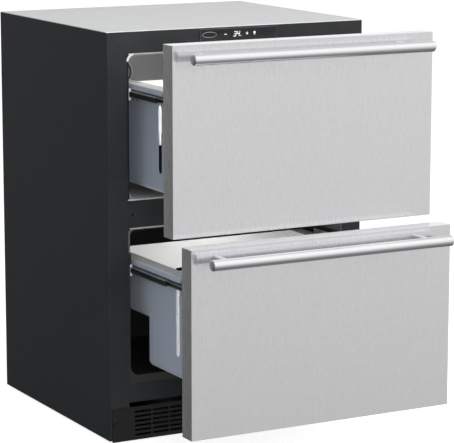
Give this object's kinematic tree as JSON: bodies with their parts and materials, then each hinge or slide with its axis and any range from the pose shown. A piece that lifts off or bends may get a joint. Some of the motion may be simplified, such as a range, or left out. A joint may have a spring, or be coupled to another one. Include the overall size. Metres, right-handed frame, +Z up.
{
  "type": "undercounter drawer refrigerator",
  "caption": "Undercounter refrigerator: black steel cabinet, brushed steel drawer fronts with bar handles, moulded bins on telescoping slides, control strip and vented toe-kick.",
  "frame": {"origin": "on the floor, under the middle of the space taken with both drawers open as drawn", "axes": "+X to the right seen from the front, +Y to the back, +Z up"},
  "size_m": [0.606, 0.9545, 0.857],
  "materials": {
    "cabinet_paint": "fine-textured black powder coat",
    "frame_paint": "fine-textured black powder coat",
    "toe_paint": "satin black paint",
    "top_steel": "smooth pale grey coat",
    "front_steel": "vertically brushed stainless steel",
    "handle_steel": "polished stainless steel",
    "slide_zinc": "zinc plated",
    "zinc_sheet": "galvanised",
    "leg_steel": "zinc plated",
    "liner_plastic": "satin moulded",
    "cover_plastic": "satin moulded",
    "bin_plastic": "satin moulded",
    "divider_plastic": "satin moulded",
    "black_plastic": "satin moulded",
    "foam": "cut foam",
    "gasket_rubber": "matt",
    "black_rubber": "matt",
    "black_screws": "black oxide",
    "compressor_paint": "gloss black paint",
    "coil_paint": "black paint",
    "motor_paint": "grey paint",
    "copper": "drawn copper",
    "coil_aluminium": "mill finish",
    "control_glass": "gloss black",
    "icon_white": "printed white",
    "board": "green solder mask",
    "lamp_plastic": "frosted"
  },
  "bodies": {
    "cabinet": {"left_side_panel": "cabinet_paint", "right_side_panel": "cabinet_paint", "top_panel": "top_steel", "rear_panel": "cabinet_paint", "machine_cover": "cabinet_paint", "cord_gland": "black_rubber", "top_rail": "frame_paint", "center_mullion": "frame_paint", "bottom_rail": "frame_paint", "upper_liner": "liner_plastic", "lower_liner": "liner_plastic", "insulation_foam": "foam", "underside_sheet": "zinc_sheet", "base_pan": "zinc_sheet", "toe_kick_screws": "black_screws", "compressor": "compressor_paint", "compressor_mounts": "black_rubber", "start_relay_box": "black_plastic", "condenser_coil": "coil_paint", "condenser_fan_motor": "motor_paint", "filter_drier": "copper", "refrigerant_lines": "copper", "drain_pan": "black_plastic", "drain_tube": "black_plastic", "evaporator_cover": "cover_plastic", "evaporator_coil": "coil_aluminium", "evaporator_fan_motor": "motor_paint", "control_housing": "black_plastic", "control_glass": "control_glass", "control_icons": "icon_white", "control_board": "board", "led_lights": "lamp_plastic", "upper_slide_rails": "slide_zinc", "lower_slide_rails": "slide_zinc"},
    "toe_kick": {"toe_kick": "toe_paint"},
    "leg_front_left": {"leg_front_left": "leg_steel"},
    "leg_front_right": {"leg_front_right": "leg_steel"},
    "leg_rear_left": {"leg_rear_left": "leg_steel"},
    "leg_rear_right": {"leg_rear_right": "leg_steel"},
    "condenser_fan": {"condenser_fan": "black_plastic"},
    "evaporator_fan": {"evaporator_fan": "black_plastic"},
    "upper_slide_middles": {"upper_slide_middles": "slide_zinc"},
    "lower_slide_middles": {"lower_slide_middles": "slide_zinc"},
    "upper_drawer": {"upper_front_skin": "front_steel", "upper_front_core": "foam", "upper_inner_panel": "bin_plastic", "upper_gasket": "gasket_rubber", "upper_handle_bar": "handle_steel", "upper_handle_posts": "handle_steel", "upper_bin": "bin_plastic", "upper_slide_runners": "slide_zinc"},
    "upper_divider": {"upper_divider": "divider_plastic"},
    "lower_drawer": {"lower_front_skin": "front_steel", "lower_front_core": "foam", "lower_inner_panel": "bin_plastic", "lower_gasket": "gasket_rubber", "lower_handle_bar": "handle_steel", "lower_handle_posts": "handle_steel", "lower_bin": "bin_plastic", "lower_slide_runners": "slide_zinc"}
  },
  "joints": [
    {"name": "upper_drawer_slide", "type": "slide", "parent": "cabinet", "child": "upper_drawer", "axis": [0, -1, 0], "range_m": [-0.236, 0.184]},
    {"name": "lower_drawer_slide", "type": "slide", "parent": "cabinet", "child": "lower_drawer", "axis": [0, -1, 0], "range_m": [-0.312, 0.108]},
    {"name": "upper_middle_slide", "type": "slide", "parent": "cabinet", "child": "upper_slide_middles", "axis": [0, -1, 0], "range_m": [-0.118, 0.092]},
    {"name": "lower_middle_slide", "type": "slide", "parent": "cabinet", "child": "lower_slide_middles", "axis": [0, -1, 0], "range_m": [-0.156, 0.054]},
    {"name": "divider_lift", "type": "slide", "parent": "upper_drawer", "child": "upper_divider", "axis": [0, 0, 1], "range_m": [0, 0.075]},
    {"name": "toe_kick_adjust", "type": "slide", "parent": "cabinet", "child": "toe_kick", "axis": [0, 0, -1], "range_m": [0, 0.012]},
    {"name": "condenser_fan_spin", "type": "hinge", "parent": "cabinet", "child": "condenser_fan", "pos_m": [-0.12, 0.33275, 0.1078], "axis": [0, 1, 0], "continuous": true},
    {"name": "evaporator_fan_spin", "type": "hinge", "parent": "cabinet", "child": "evaporator_fan", "pos_m": [-0.047, 0.41275, 0.7155], "axis": [0, 1, 0], "continuous": true},
    {"name": "leg_front_left_screw", "type": "slide", "parent": "cabinet", "child": "leg_front_left", "axis": [0, 0, -1], "range_m": [0, 0.019]},
    {"name": "leg_front_right_screw", "type": "slide", "parent": "cabinet", "child": "leg_front_right", "axis": [0, 0, -1], "range_m": [0, 0.019]},
    {"name": "leg_rear_left_screw", "type": "slide", "parent": "cabinet", "child": "leg_rear_left", "axis": [0, 0, -1], "range_m": [0, 0.019]},
    {"name": "leg_rear_right_screw", "type": "slide", "parent": "cabinet", "child": "leg_rear_right", "axis": [0, 0, -1], "range_m": [0, 0.019]}
  ],
  "couplings": [
    {"joint": "upper_middle_slide", "follows": "upper_drawer_slide", "ratio": 0.5},
    {"joint": "lower_middle_slide", "follows": "lower_drawer_slide", "ratio": 0.5}
  ]
}
